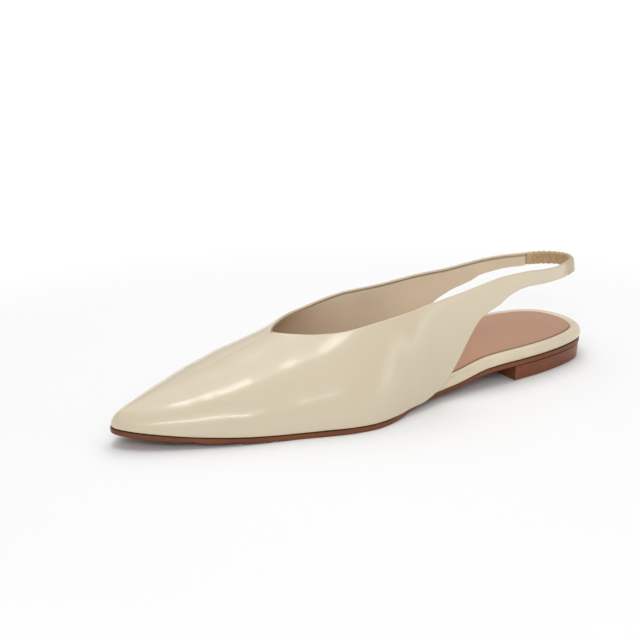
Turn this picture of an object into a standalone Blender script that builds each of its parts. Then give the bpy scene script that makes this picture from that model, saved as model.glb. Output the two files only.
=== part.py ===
"""Sling back flat, left shoe: pointed vamp, low quarters drawn out into a sling strap with an elastic
heel loop, bound insole, tan sock, thin leather outsole and a low stacked heel. Metres, +Z up.
The toe points to -Y, the lateral side to +X, and the shoe stands on the ground plane z = 0."""
import math
import bpy
import bmesh
from mathutils import Vector

# Sizes of the shoe.
LENGTH = 0.262
BALL_WIDTH = 0.0798
HEEL_WIDTH = 0.0565
THROAT_HEIGHT = 0.0394
SIDE_HEIGHT = 0.055
HEEL_HEIGHT = 0.0081
TOE_SPRING = 0.0068
SOLE_THICKNESS = 0.0025
WALL = 0.0018
STRAP_WIDTH = 0.0081
RIM_HEIGHT = 0.0055
RIM_WIDTH = 0.0044
SOCK_THICKNESS = 0.001
ELASTIC_THICKNESS = 0.0024
HEEL_LENGTH = 0.060
HEEL_TAPER = 0.0008
LUG_DEPTH = 0.0008
EDGE_LIP = 0.0004
GAP = 0.0003

# Sizes that follow from them.
STAND_OFF = WALL + 1.5 * GAP
BOARD_LENGTH = LENGTH - STAND_OFF - EDGE_LIP
LAST_WIDTH = BALL_WIDTH - 2 * (STAND_OFF + EDGE_LIP)
THROAT = 0.687
STRAP_END = 0.0725
FLANK = 0.465

# Last's bottom outline: share of BOARD_LENGTH from the heel, lateral and medial half widths as shares of the
# width there, and how far that width is HEEL_WIDTH (1) or LAST_WIDTH (0).
OUTLINE = [
    (0.0000, -0.007, 0.007, 1.00),
    (0.0046, 0.135, 0.149, 1.00),
    (0.0154, 0.255, 0.273, 1.00),
    (0.0386, 0.361, 0.382, 1.00),
    (0.0771, 0.435, 0.460, 1.00),
    (0.1350, 0.496, 0.494, 1.00),
    (0.1928, 0.526, 0.474, 1.00),
    (0.2507, 0.538, 0.430, 1.00),
    (0.3085, 0.496, 0.357, 0.75),
    (0.3664, 0.466, 0.308, 0.50),
    (0.4242, 0.454, 0.283, 0.25),
    (0.4821, 0.471, 0.293, 0.00),
    (0.5399, 0.528, 0.342, 0.00),
    (0.5862, 0.551, 0.388, 0.00),
    (0.6286, 0.533, 0.425, 0.00),
    (0.6710, 0.487, 0.451, 0.00),
    (0.7173, 0.430, 0.457, 0.00),
    (0.7636, 0.384, 0.440, 0.00),
    (0.8099, 0.334, 0.401, 0.00),
    (0.8562, 0.270, 0.345, 0.00),
    (0.8947, 0.210, 0.285, 0.00),
    (0.9294, 0.150, 0.231, 0.00),
    (0.9564, 0.098, 0.186, 0.00),
    (0.9757, 0.053, 0.154, 0.00),
    (0.9911, 0.001, 0.112, 0.00),
    (1.0000, -0.055, 0.055, 0.00),
]

# Underside of the outsole: share of LENGTH, share of HEEL_HEIGHT, share of TOE_SPRING.
SOLE_LINE = [
    (0.000, 1.00, 0.00),
    (0.240, 1.00, 0.00),
    (0.290, 0.92, 0.00),
    (0.363, 0.44, 0.00),
    (0.439, 0.20, 0.00),
    (0.515, 0.05, 0.00),
    (0.565, 0.00, 0.00),
    (0.706, 0.00, 0.00),
    (0.782, 0.00, 0.09),
    (0.878, 0.00, 0.38),
    (1.000, 0.00, 1.00),
]

# Outsole's edge beside the last's outline: share of BOARD_LENGTH, share of the upper's stand-off.
# Below nothing it is tucked in, at the waist most.
SOLE_EDGE = [
    (0.000, -0.20),
    (0.240, -0.20),
    (0.360, -0.50),
    (0.450, -0.70),
    (0.520, 0.40),
    (0.580, 1.15),
    (1.000, 1.18),
]

# Channels between the forefoot lugs: first and last station, shares of LENGTH.
LUG_CHANNELS = [
    (0.752, 0.763),
    (0.811, 0.832),
    (0.881, 0.901),
    (0.956, 0.972),
]

# Insole board: share of BOARD_LENGTH, share of RIM_HEIGHT, share of RIM_WIDTH.
BOARD_LINE = [
    (0.00, 1.00, 1.30),
    (0.16, 1.00, 1.00),
    (0.42, 1.00, 1.00),
    (0.58, 0.55, 0.60),
    (1.00, 0.40, 0.34),
]

# How much fuller than an ellipse the vamp's sections are: share from throat to toe, lateral, medial.
FULLNESS = [
    (0.00, 0.00, 0.00),
    (0.28, 0.01, 0.17),
    (0.62, 0.02, 0.25),
    (0.86, 0.02, 0.20),
    (1.00, 0.00, 0.00),
]

# Board's edge in section, from the underside round to the sock's bed: share in, share up.
BOARD_EDGE = [
    (0.22, 0.00),
    (0.04, 0.16),
    (0.00, 0.44),
    (0.07, 0.74),
    (0.25, 0.93),
    (0.50, 1.00),
    (0.80, 0.98),
    (1.00, 0.90),
    (1.00, 0.76),
]

# Crest of the vamp: share of LENGTH, place across as a share of BALL_WIDTH, share of THROAT_HEIGHT.
CREST = [
    (0.6870, -0.050, 1.000),
    (0.7137, -0.051, 0.934),
    (0.7313, -0.051, 0.896),
    (0.7511, -0.052, 0.858),
    (0.7710, -0.052, 0.820),
    (0.7939, -0.053, 0.771),
    (0.8130, -0.053, 0.734),
    (0.8294, -0.053, 0.708),
    (0.8435, -0.054, 0.678),
    (0.8588, -0.054, 0.652),
    (0.8740, -0.054, 0.622),
    (0.8931, -0.054, 0.591),
    (0.9084, -0.054, 0.566),
    (0.9412, -0.054, 0.503),
    (0.9790, -0.054, 0.424),
]

# Toplines: share of LENGTH, distance out as a share of the width there, and rise from THROAT_HEIGHT (0) to
# SIDE_HEIGHT (1).
LATERAL_TOP = [
    (0.0725, 0.288, 0.788),
    (0.1008, 0.343, 0.821),
    (0.1481, 0.409, 0.910),
    (0.1885, 0.437, 0.981),
    (0.2282, 0.453, 1.000),
    (0.2603, 0.456, 0.981),
    (0.3115, 0.441, 0.891),
    (0.3435, 0.432, 0.821),
    (0.3794, 0.421, 0.750),
    (0.4260, 0.404, 0.654),
    (0.4702, 0.381, 0.532),
    (0.5107, 0.362, 0.423),
    (0.5489, 0.336, 0.321),
    (0.5672, 0.318, 0.256),
    (0.6000, 0.269, 0.147),
    (0.6252, 0.211, 0.092),
    (0.6427, 0.159, 0.064),
    (0.6588, 0.103, 0.050),
    (0.6740, 0.040, 0.036),
    (0.6824, -0.013, 0.024),
    (0.6858, -0.040, 0.010),
    (0.6870, -0.053, 0.000),
]
MEDIAL_TOP = [
    (0.0725, 0.251, 0.756),
    (0.1244, 0.329, 0.724),
    (0.1626, 0.368, 0.679),
    (0.2076, 0.386, 0.615),
    (0.2672, 0.390, 0.545),
    (0.3137, 0.372, 0.519),
    (0.3580, 0.357, 0.500),
    (0.4038, 0.342, 0.468),
    (0.4489, 0.331, 0.423),
    (0.4939, 0.321, 0.372),
    (0.5183, 0.318, 0.333),
    (0.5473, 0.313, 0.263),
    (0.5779, 0.298, 0.192),
    (0.6191, 0.257, 0.135),
    (0.6496, 0.195, 0.096),
    (0.6700, 0.137, 0.060),
    (0.6790, 0.105, 0.040),
    (0.6840, 0.080, 0.020),
    (0.6862, 0.066, 0.008),
    (0.6870, 0.053, 0.000),
]

# Rear edges of the quarters and the straps' lower edges: share of LENGTH, share of the way up from the
# feather edge to one STRAP_WIDTH below the topline, and how much of the last's swell a section keeps there.
LATERAL_LOW = [
    (0.000, 1.035, 0.30),
    (0.098, 1.035, 0.30),
    (0.146, 1.022, 0.30),
    (0.205, 1.000, 0.37),
    (0.226, 0.970, 0.46),
    (0.246, 0.926, 0.54),
    (0.265, 0.865, 0.63),
    (0.295, 0.826, 0.76),
    (0.316, 0.775, 0.85),
    (0.341, 0.628, 0.96),
    (0.366, 0.416, 1.00),
    (0.381, 0.294, 1.00),
    (0.395, 0.188, 1.00),
    (0.416, 0.090, 1.00),
    (0.437, 0.030, 1.00),
    (0.456, 0.000, 1.00),
]
MEDIAL_LOW = [
    (0.000, 1.025, 0.30),
    (0.107, 1.020, 0.30),
    (0.137, 1.000, 0.30),
    (0.169, 0.974, 0.30),
    (0.187, 0.920, 0.30),
    (0.208, 0.878, 0.38),
    (0.230, 0.846, 0.47),
    (0.258, 0.770, 0.60),
    (0.284, 0.660, 0.71),
    (0.307, 0.480, 0.81),
    (0.330, 0.300, 0.91),
    (0.353, 0.160, 1.00),
    (0.378, 0.060, 1.00),
    (0.403, 0.015, 1.00),
    (0.424, 0.000, 1.00),
]

# Heel loop in plan, from the lateral strap's end to the medial one's: share of the way round, share of LENGTH
# from the heel, place across as a share of HEEL_WIDTH.
LOOP = [
    (0.00, 0.0725, 0.288),
    (0.18, 0.0430, 0.223),
    (0.34, 0.0214, 0.142),
    (0.50, 0.0111, 0.016),
    (0.66, 0.0206, -0.106),
    (0.82, 0.0420, -0.193),
    (1.00, 0.0725, -0.251),
]

OUTLINE_STEPS = 44
TOE_ROWS = 20
THROAT_ROWS = 15
FLANK_ROWS = 30
RISE_STEPS = 10
LOOP_ROWS = 22
LOOP_STEPS = 4
BRINK = 0.0006


def follow(rows, column, place):
    """Value of a column at a place along a table, smooth and with no overshoot between its rows."""
    last = len(rows) - 1
    if place <= rows[0][0]:
        return rows[0][column]
    if place >= rows[last][0]:
        return rows[last][column]
    here = 0
    while rows[here + 1][0] < place:
        here += 1

    def slope(k):
        return (rows[k + 1][column] - rows[k][column]) / (rows[k + 1][0] - rows[k][0])

    def lean(k):
        if k == 0:
            return slope(0)
        if k == last:
            return slope(last - 1)
        before = slope(k - 1)
        after = slope(k)
        if before * after <= 0:
            return 0.0
        return 2 * before * after / (before + after)

    span = rows[here + 1][0] - rows[here][0]
    t = (place - rows[here][0]) / span
    value = rows[here][column] * (1 + 2 * t) * (1 - t) ** 2
    value += rows[here + 1][column] * t * t * (3 - 2 * t)
    value += lean(here) * span * t * (1 - t) ** 2
    value -= lean(here + 1) * span * t * t * (1 - t)
    return value


def turn_of(share):
    """Even steps of turn crowd the stations at the heel and the toe, where the outline is round."""
    return math.acos(1 - 2 * min(max(share, 0.0), 1.0)) / math.pi


def share_of(turn):
    return (1 - math.cos(math.pi * turn)) / 2


TURNED = [(turn_of(row[0]), row[1], row[2], row[3]) for row in OUTLINE]


def width_at(turn):
    seat = follow(TURNED, 3, turn)
    return seat * HEEL_WIDTH + (1 - seat) * LAST_WIDTH


def outline_point(turn, side):
    """Point on the last's bottom outline; side is 1 for lateral and -1 for medial."""
    column = 1 if side > 0 else 2
    across = side * follow(TURNED, column, turn) * width_at(turn)
    return Vector((share_of(turn) * BOARD_LENGTH, across))


def outward(turn, side):
    """Direction in plan that points away from the last."""
    if turn < 0.0001:
        return Vector((-1.0, 0.0))
    if turn > 0.9999:
        return Vector((1.0, 0.0))
    before = outline_point(max(turn - 0.004, 0.0), side)
    after = outline_point(min(turn + 0.004, 1.0), side)
    along = (after - before).normalized()
    return Vector((-along.y * side, along.x * side))


def ground_line(station):
    """Height of the outsole's underside, at a distance from the heel."""
    share = min(max(station / LENGTH, 0.0), 1.0)
    return follow(SOLE_LINE, 1, share) * HEEL_HEIGHT + follow(SOLE_LINE, 2, share) * TOE_SPRING


def seat_line(station):
    return ground_line(station) + SOLE_THICKNESS + GAP


def ring(turns, out, height):
    """Closed loop of points: up the lateral side to the toe and back down the medial side."""
    path = [(turn, 1) for turn in turns]
    path += [(turn, -1) for turn in reversed(turns[1:-1])]
    points = []
    for turn, side in path:
        flat = outline_point(turn, side) + outward(turn, side) * out(turn)
        points.append(Vector((flat.x, flat.y, height(flat.x))))
    return points


def in_world(point):
    return (point[1], LENGTH / 2 - point[0], point[2])


def finish(name, points, faces, colour, roughness):
    mesh = bpy.data.meshes.new(name)
    mesh.from_pydata([in_world(point) for point in points], [], faces)
    piece = bpy.data.objects.new(name, mesh)
    shoe.objects.link(piece)
    material = bpy.data.materials.new(name + "_finish")
    material.use_nodes = True
    shader = material.node_tree.nodes["Principled BSDF"]
    shader.inputs["Base Color"].default_value = (colour[0], colour[1], colour[2], 1)
    shader.inputs["Roughness"].default_value = roughness
    mesh.materials.append(material)
    return piece


def turn_out(piece):
    """Faces of a closed mesh point outward."""
    shape = bmesh.new()
    shape.from_mesh(piece.data)
    bmesh.ops.recalc_face_normals(shape, faces=shape.faces)
    shape.to_mesh(piece.data)
    shape.free()


def stack(name, rings, colour, roughness):
    """Solid from rings of equal length, closed below the first and above the last by rungs across."""
    count = len(rings[0])
    half = count // 2
    points = [point for one in rings for point in one]
    faces = []
    for level in range(len(rings) - 1):
        for k in range(count):
            after = (k + 1) % count
            low = level * count
            high = low + count
            faces.append((low + k, low + after, high + after, high + k))
    for start in (0, (len(rings) - 1) * count):
        for k in range(half):
            rung = [start + k, start + k + 1]
            if k + 1 < half:
                rung.append(start + count - k - 1)
            if k > 0:
                rung.append(start + count - k)
            faces.append(tuple(rung))
    piece = finish(name, points, faces, colour, roughness)
    turn_out(piece)
    return piece


def make_outsole():
    """Thin leather sole with heel seat, tucked waist, toe spring and channels between the forefoot lugs."""
    edges = [station for channel in LUG_CHANNELS for station in channel]
    stations = [share_of(k / OUTLINE_STEPS) for k in range(OUTLINE_STEPS + 1)]
    for edge in edges:
        wanted = edge * LENGTH / BOARD_LENGTH
        stations = [share for share in stations if abs(share - wanted) > 0.004]
        stations += [wanted - BRINK / LENGTH, wanted + BRINK / LENGTH]
    turns = [turn_of(share) for share in sorted(stations)]

    def out(step):
        return lambda turn: follow(SOLE_EDGE, 1, share_of(turn)) * STAND_OFF - step

    def channelled(station):
        share = station / LENGTH
        for first, last in LUG_CHANNELS:
            if first <= share <= last:
                return ground_line(station) + LUG_DEPTH
        return ground_line(station)

    rings = [
        ring(turns, out(SOLE_THICKNESS * 0.20), channelled),
        ring(turns, out(0.0), lambda station: channelled(station) + SOLE_THICKNESS * 0.16),
        ring(turns, out(0.0), lambda station: ground_line(station) + SOLE_THICKNESS * 0.84),
        ring(turns, out(SOLE_THICKNESS * 0.16), lambda station: ground_line(station) + SOLE_THICKNESS),
    ]
    return stack("outsole", rings, (0.17, 0.06, 0.028), 0.45)


def make_heel():
    """Low stacked heel block with a straight breast."""
    last = turn_of(HEEL_LENGTH / BOARD_LENGTH)
    turns = [last * k / 18 for k in range(19)]
    levels = [
        (0.45, 0.0),
        (0.75, 0.03),
        (1.0, 0.10),
        (1.0, 0.96),
        (1.15, 1.0),
    ]
    rings = []
    for inset, rise in levels:
        step = HEEL_TAPER * (1.0 + (1.0 - rise) * 0.6)
        if rise < 0.05 or rise > 0.97:
            step += HEEL_TAPER * 0.45
        height = (HEEL_HEIGHT - GAP) * rise
        points = []
        for side in (1, -1):
            chosen = turns if side > 0 else turns[:0:-1]
            for turn in chosen:
                flat = outline_point(turn, side) - outward(turn, side) * step
                points.append(Vector((min(flat.x, HEEL_LENGTH - step * inset), flat.y, height)))
        rings.append(points)
    count = len(rings[0])
    points = [point for one in rings for point in one]
    faces = []
    for level in range(len(rings) - 1):
        for k in range(count):
            low = level * count
            after = (k + 1) % count
            faces.append((low + k, low + after, low + count + after, low + count + k))
    faces.append(tuple(range(count)))
    faces.append(tuple(range(count * (len(rings) - 1), count * len(rings))))
    piece = finish("heel", points, faces, (0.2, 0.075, 0.035), 0.4)
    turn_out(piece)
    return piece


def make_insole():
    """Insole board bound in cream leather: a round rim about a shallow bed for the sock."""
    turns = [k / OUTLINE_STEPS for k in range(OUTLINE_STEPS + 1)]

    def edge(inward, up):
        return ring(
            turns,
            lambda turn: -inward * RIM_WIDTH * follow(BOARD_LINE, 2, share_of(turn)),
            lambda station: seat_line(station) + up * board_height(station),
        )

    return stack("insole", [edge(inward, up) for inward, up in BOARD_EDGE], (0.66, 0.58, 0.42), 0.4)


def board_height(station):
    return RIM_HEIGHT * follow(BOARD_LINE, 1, min(max(station / BOARD_LENGTH, 0.0), 1.0))


def make_sock():
    """Tan sock in the bed of the insole."""
    turns = [k / OUTLINE_STEPS for k in range(OUTLINE_STEPS + 1)]
    bed = BOARD_EDGE[-1][1]

    def edge(inward, up):
        return ring(
            turns,
            lambda turn: -RIM_WIDTH * follow(BOARD_LINE, 2, share_of(turn)) - GAP - inward,
            lambda station: seat_line(station) + bed * board_height(station) + GAP + up,
        )

    levels = [(0.0, 0.0), (0.0, SOCK_THICKNESS * 0.7), (SOCK_THICKNESS * 0.4, SOCK_THICKNESS)]
    return stack("sock", [edge(inward, up) for inward, up in levels], (0.52, 0.3, 0.2), 0.6)


def top_point(share, side):
    rows = LATERAL_TOP if side > 0 else MEDIAL_TOP
    turn = turn_of(share * LENGTH / BOARD_LENGTH)
    across = side * follow(rows, 1, share) * width_at(turn)
    up = THROAT_HEIGHT + follow(rows, 2, share) * (SIDE_HEIGHT - THROAT_HEIGHT)
    return Vector((share * LENGTH, across, up))


def crest_point(share):
    across = follow(CREST, 1, share) * BALL_WIDTH
    return Vector((share * LENGTH, across, follow(CREST, 2, share) * THROAT_HEIGHT))


def feather_point(turn, side):
    """Where the outside of the upper meets the outsole."""
    flat = outline_point(turn, side) + outward(turn, side) * STAND_OFF
    return Vector((flat.x, flat.y, seat_line(flat.x)))


def section(foot, top, hub, nose, full=0.0):
    """Arch of the last above one feather point: its centre, reach and rise, and how far along it the top lies."""
    reach = Vector((foot.x - hub.x, foot.y - hub.y))
    inward = Vector((top.x - hub.x, top.y - hub.y))
    share = min(max(inward.dot(reach) / reach.length_squared, 0.0), 0.98)
    end = math.acos(share)
    rise = (top.z - foot.z) / math.sin(end)
    return hub, reach, foot.z, rise, end, nose, full


def on_section(arch, angle):
    hub, reach, ground, rise, end, nose, full = arch
    out = max(math.cos(angle), 0.0) ** (1 - full)
    up = max(math.sin(angle), 0.0) ** (1 - full)
    height = ground + rise * up - nose * reach.length * out * up
    return Vector((hub.x + reach.x * out, hub.y + reach.y * out, height))


def side_row(share, side, steps):
    """One line of points on a quarter or strap, from its lower edge up to the topline."""
    rows = LATERAL_LOW if side > 0 else MEDIAL_LOW
    top = top_point(share, side)
    foot = feather_point(turn_of(share * LENGTH / BOARD_LENGTH), side)
    foot.x = share * LENGTH
    foot.y = top.y + (foot.y - top.y) * follow(rows, 2, share)
    arch = section(foot, top, Vector((foot.x, CREST[0][1] * BALL_WIDTH, 0.0)), 0.0)
    part = follow(rows, 1, share)
    lift = part * (top.z - STRAP_WIDTH - foot.z) / arch[3]
    start = math.asin(min(max(lift, 0.0), 0.999))
    return [on_section(arch, start + (arch[4] - start) * k / steps) for k in range(steps + 1)]


def vamp_row(turn, side, steps):
    """One line of points over the vamp, from the feather edge up to the crest."""
    foot = feather_point(turn, side)
    start = THROAT * LENGTH
    reach = (foot.x - start) / (LENGTH - EDGE_LIP - start)
    share = THROAT + (CREST[-1][0] - THROAT) * (reach + 0.35 * reach * (1 - reach) * reach)
    top = crest_point(share)
    full = follow(FULLNESS, 1 if side > 0 else 2, reach)
    arch = section(foot, top, top, 0.30 * max(reach, 0.0) ** 4, full)
    return [on_section(arch, math.pi / 2 * k / steps) for k in range(steps + 1)]


def make_upper():
    """One hollow leather upper: vamp, quarters and both straps, open at the throat, heel and underside."""
    throat_turn = turn_of(THROAT * LENGTH / BOARD_LENGTH)
    vamp_turns = [1 - (1 - throat_turn) * k / TOE_ROWS for k in range(TOE_ROWS + 1)]
    shares = [THROAT + (FLANK - THROAT) * (k / THROAT_ROWS) ** 1.5 for k in range(1, THROAT_ROWS + 1)]
    shares += [FLANK + (STRAP_END - FLANK) * k / FLANK_ROWS for k in range(1, FLANK_ROWS + 1)]
    points = []
    rows = {1: [], -1: []}
    for number, turn in enumerate(vamp_turns):
        crest = None
        for side in (1, -1):
            if number == 0 and side < 0:
                rows[side].append(rows[1][0])
                continue
            line = []
            for k, point in enumerate(vamp_row(turn, side, RISE_STEPS)):
                if k == RISE_STEPS and crest is not None:
                    line.append(crest)
                    continue
                points.append(point)
                line.append(len(points) - 1)
            crest = line[-1]
            rows[side].append(line)
    for share in shares:
        for side in (1, -1):
            line = []
            for point in side_row(share, side, RISE_STEPS):
                points.append(point)
                line.append(len(points) - 1)
            rows[side].append(line)
    faces = []
    for side in (1, -1):
        for front, back in zip(rows[side], rows[side][1:]):
            for k in range(RISE_STEPS):
                face = (front[k], front[k + 1], back[k + 1], back[k])
                faces.append(face[::-1] if side > 0 else face)
    piece = finish("upper", points, faces, (0.68, 0.6, 0.43), 0.25)
    wall = piece.modifiers.new("wall", "SOLIDIFY")
    wall.thickness = WALL
    wall.offset = -1.0
    wall.use_even_offset = True
    wall.use_rim = True
    return piece


def make_elastic():
    """Covered elastic that closes the sling round the heel, butted to the ends of both straps."""
    ends = [side_row(STRAP_END, side, LOOP_STEPS) for side in (1, -1)]
    path = []
    for k in range(401):
        way = k / 400
        path.append(Vector((follow(LOOP, 1, way) * LENGTH, follow(LOOP, 2, way) * HEEL_WIDTH)))
    walked = [0.0]
    for before, after in zip(path, path[1:]):
        walked.append(walked[-1] + (after - before).length)
    points = []
    for row in range(LOOP_ROWS + 1):
        goal = GAP + (walked[-1] - 2 * GAP) * row / LOOP_ROWS
        k = 1
        while walked[k] < goal and k < len(walked) - 1:
            k += 1
        blend = (goal - walked[k - 1]) / (walked[k] - walked[k - 1])
        flat = path[k - 1].lerp(path[k], blend)
        along = (path[k] - path[k - 1]).normalized()
        away = Vector((along.y, -along.x))
        way = goal / walked[-1]
        for step in range(LOOP_STEPS + 1):
            flare = [abs(end[step].y) - abs(end[-1].y) for end in ends]
            spot = flat + away * (flare[0] + (flare[1] - flare[0]) * way)
            height = ends[0][step].z + (ends[1][step].z - ends[0][step].z) * way
            points.append(Vector((spot.x, spot.y, height)))
    faces = []
    wide = LOOP_STEPS + 1
    for row in range(LOOP_ROWS):
        for step in range(LOOP_STEPS):
            first = row * wide + step
            faces.append((first, first + wide, first + wide + 1, first + 1))
    piece = finish("sling_elastic", points, faces, (0.62, 0.5, 0.3), 0.5)
    wall = piece.modifiers.new("wall", "SOLIDIFY")
    wall.thickness = ELASTIC_THICKNESS
    wall.offset = -1.0
    wall.use_even_offset = True
    wall.use_rim = True
    return piece


def centre(pieces):
    """Whole shoe stands on z = 0 with its box centred on the origin."""
    spots = [vertex.co for piece in pieces for vertex in piece.data.vertices]
    low = Vector([min(spot[axis] for spot in spots) for axis in range(3)])
    high = Vector([max(spot[axis] for spot in spots) for axis in range(3)])
    shift = Vector((-(low.x + high.x) / 2, -(low.y + high.y) / 2, -low.z))
    for piece in pieces:
        for vertex in piece.data.vertices:
            vertex.co += shift


for old in list(bpy.data.objects):
    bpy.data.objects.remove(old)
shoe = bpy.data.collections.new("sling_back_flat")
bpy.context.scene.collection.children.link(shoe)
centre([
    make_upper(),
    make_outsole(),
    make_heel(),
    make_insole(),
    make_sock(),
    make_elastic(),
])
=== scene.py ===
import math
import bpy
import bmesh
import numpy as np
from mathutils import Matrix, Vector, noise


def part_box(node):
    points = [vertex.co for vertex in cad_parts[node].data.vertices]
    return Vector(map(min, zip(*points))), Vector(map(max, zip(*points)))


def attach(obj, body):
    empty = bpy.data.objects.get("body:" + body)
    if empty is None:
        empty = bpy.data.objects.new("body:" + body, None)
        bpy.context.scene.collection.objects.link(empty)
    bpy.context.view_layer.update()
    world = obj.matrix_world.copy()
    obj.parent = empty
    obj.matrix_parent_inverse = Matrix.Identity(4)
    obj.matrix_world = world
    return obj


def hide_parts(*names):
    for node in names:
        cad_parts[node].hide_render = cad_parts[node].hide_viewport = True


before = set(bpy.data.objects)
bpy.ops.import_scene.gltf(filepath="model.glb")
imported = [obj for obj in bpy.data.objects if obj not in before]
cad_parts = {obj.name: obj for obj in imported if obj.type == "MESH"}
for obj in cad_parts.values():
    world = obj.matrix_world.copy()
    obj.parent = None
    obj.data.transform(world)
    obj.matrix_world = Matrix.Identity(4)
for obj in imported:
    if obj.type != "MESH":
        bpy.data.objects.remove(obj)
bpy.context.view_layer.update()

bl_info = {
    "name": "Sling back flat",
    "version": (1, 0, 0),
    "blender": (4, 5, 0),
    "location": "View3D > Sidebar > Shoe",
    "description": "Dresses a pointed leather flat with a sling strap, for the left foot",
    "category": "Add Mesh",
}

# Sizes and tables of the last, the same as the solids have.
LENGTH = 0.262
BALL_WIDTH = 0.0798
HEEL_WIDTH = 0.0565
THROAT_HEIGHT = 0.0394
SIDE_HEIGHT = 0.055
HEEL_HEIGHT = 0.0081
TOE_SPRING = 0.0068
SOLE_THICKNESS = 0.0025
WALL = 0.0018
STRAP_WIDTH = 0.0081
RIM_HEIGHT = 0.0055
RIM_WIDTH = 0.0044
SOCK_THICKNESS = 0.001
HEEL_LENGTH = 0.060
HEEL_TAPER = 0.0008
LUG_DEPTH = 0.0008
EDGE_LIP = 0.0004
GAP = 0.0003

# Sizes that follow from them.
STAND_OFF = WALL + 1.5 * GAP
BOARD_LENGTH = LENGTH - STAND_OFF - EDGE_LIP
LAST_WIDTH = BALL_WIDTH - 2 * (STAND_OFF + EDGE_LIP)
THROAT = 0.687
STRAP_END = 0.0725
FLANK = 0.465

# Last's bottom outline: share of BOARD_LENGTH from the heel, lateral and medial half widths as shares of the
# width there, and how far that width is HEEL_WIDTH (1) or LAST_WIDTH (0).
OUTLINE = [
    (0.0000, -0.007, 0.007, 1.00),
    (0.0046, 0.135, 0.149, 1.00),
    (0.0154, 0.255, 0.273, 1.00),
    (0.0386, 0.361, 0.382, 1.00),
    (0.0771, 0.435, 0.460, 1.00),
    (0.1350, 0.496, 0.494, 1.00),
    (0.1928, 0.526, 0.474, 1.00),
    (0.2507, 0.538, 0.430, 1.00),
    (0.3085, 0.496, 0.357, 0.75),
    (0.3664, 0.466, 0.308, 0.50),
    (0.4242, 0.454, 0.283, 0.25),
    (0.4821, 0.471, 0.293, 0.00),
    (0.5399, 0.528, 0.342, 0.00),
    (0.5862, 0.551, 0.388, 0.00),
    (0.6286, 0.533, 0.425, 0.00),
    (0.6710, 0.487, 0.451, 0.00),
    (0.7173, 0.430, 0.457, 0.00),
    (0.7636, 0.384, 0.440, 0.00),
    (0.8099, 0.334, 0.401, 0.00),
    (0.8562, 0.270, 0.345, 0.00),
    (0.8947, 0.210, 0.285, 0.00),
    (0.9294, 0.150, 0.231, 0.00),
    (0.9564, 0.098, 0.186, 0.00),
    (0.9757, 0.053, 0.154, 0.00),
    (0.9911, 0.001, 0.112, 0.00),
    (1.0000, -0.055, 0.055, 0.00),
]

# Underside of the outsole: share of LENGTH, share of HEEL_HEIGHT, share of TOE_SPRING.
SOLE_LINE = [
    (0.000, 1.00, 0.00),
    (0.240, 1.00, 0.00),
    (0.290, 0.92, 0.00),
    (0.363, 0.44, 0.00),
    (0.439, 0.20, 0.00),
    (0.515, 0.05, 0.00),
    (0.565, 0.00, 0.00),
    (0.706, 0.00, 0.00),
    (0.782, 0.00, 0.09),
    (0.878, 0.00, 0.38),
    (1.000, 0.00, 1.00),
]

# Outsole's edge beside the last's outline: share of BOARD_LENGTH, share of the upper's stand-off.
# Below nothing it is tucked in, at the waist most.
SOLE_EDGE = [
    (0.000, -0.20),
    (0.240, -0.20),
    (0.360, -0.50),
    (0.450, -0.70),
    (0.520, 0.40),
    (0.580, 1.15),
    (1.000, 1.18),
]

# Channels between the forefoot lugs: first and last station, shares of LENGTH.
LUG_CHANNELS = [
    (0.752, 0.763),
    (0.811, 0.832),
    (0.881, 0.901),
    (0.956, 0.972),
]

# Insole board: share of BOARD_LENGTH, share of RIM_HEIGHT, share of RIM_WIDTH.
BOARD_LINE = [
    (0.00, 1.00, 1.30),
    (0.16, 1.00, 1.00),
    (0.42, 1.00, 1.00),
    (0.58, 0.55, 0.60),
    (1.00, 0.40, 0.34),
]

# How much fuller than an ellipse the vamp's sections are: share from throat to toe, lateral, medial.
FULLNESS = [
    (0.00, 0.00, 0.00),
    (0.28, 0.01, 0.17),
    (0.62, 0.02, 0.25),
    (0.86, 0.02, 0.20),
    (1.00, 0.00, 0.00),
]

# Board's edge in section, from the underside round to the sock's bed: share in, share up.
BOARD_EDGE = [
    (0.22, 0.00),
    (0.04, 0.16),
    (0.00, 0.44),
    (0.07, 0.74),
    (0.25, 0.93),
    (0.50, 1.00),
    (0.80, 0.98),
    (1.00, 0.90),
    (1.00, 0.76),
]

# Crest of the vamp: share of LENGTH, place across as a share of BALL_WIDTH, share of THROAT_HEIGHT.
CREST = [
    (0.6870, -0.050, 1.000),
    (0.7137, -0.051, 0.934),
    (0.7313, -0.051, 0.896),
    (0.7511, -0.052, 0.858),
    (0.7710, -0.052, 0.820),
    (0.7939, -0.053, 0.771),
    (0.8130, -0.053, 0.734),
    (0.8294, -0.053, 0.708),
    (0.8435, -0.054, 0.678),
    (0.8588, -0.054, 0.652),
    (0.8740, -0.054, 0.622),
    (0.8931, -0.054, 0.591),
    (0.9084, -0.054, 0.566),
    (0.9412, -0.054, 0.503),
    (0.9790, -0.054, 0.424),
]

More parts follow.
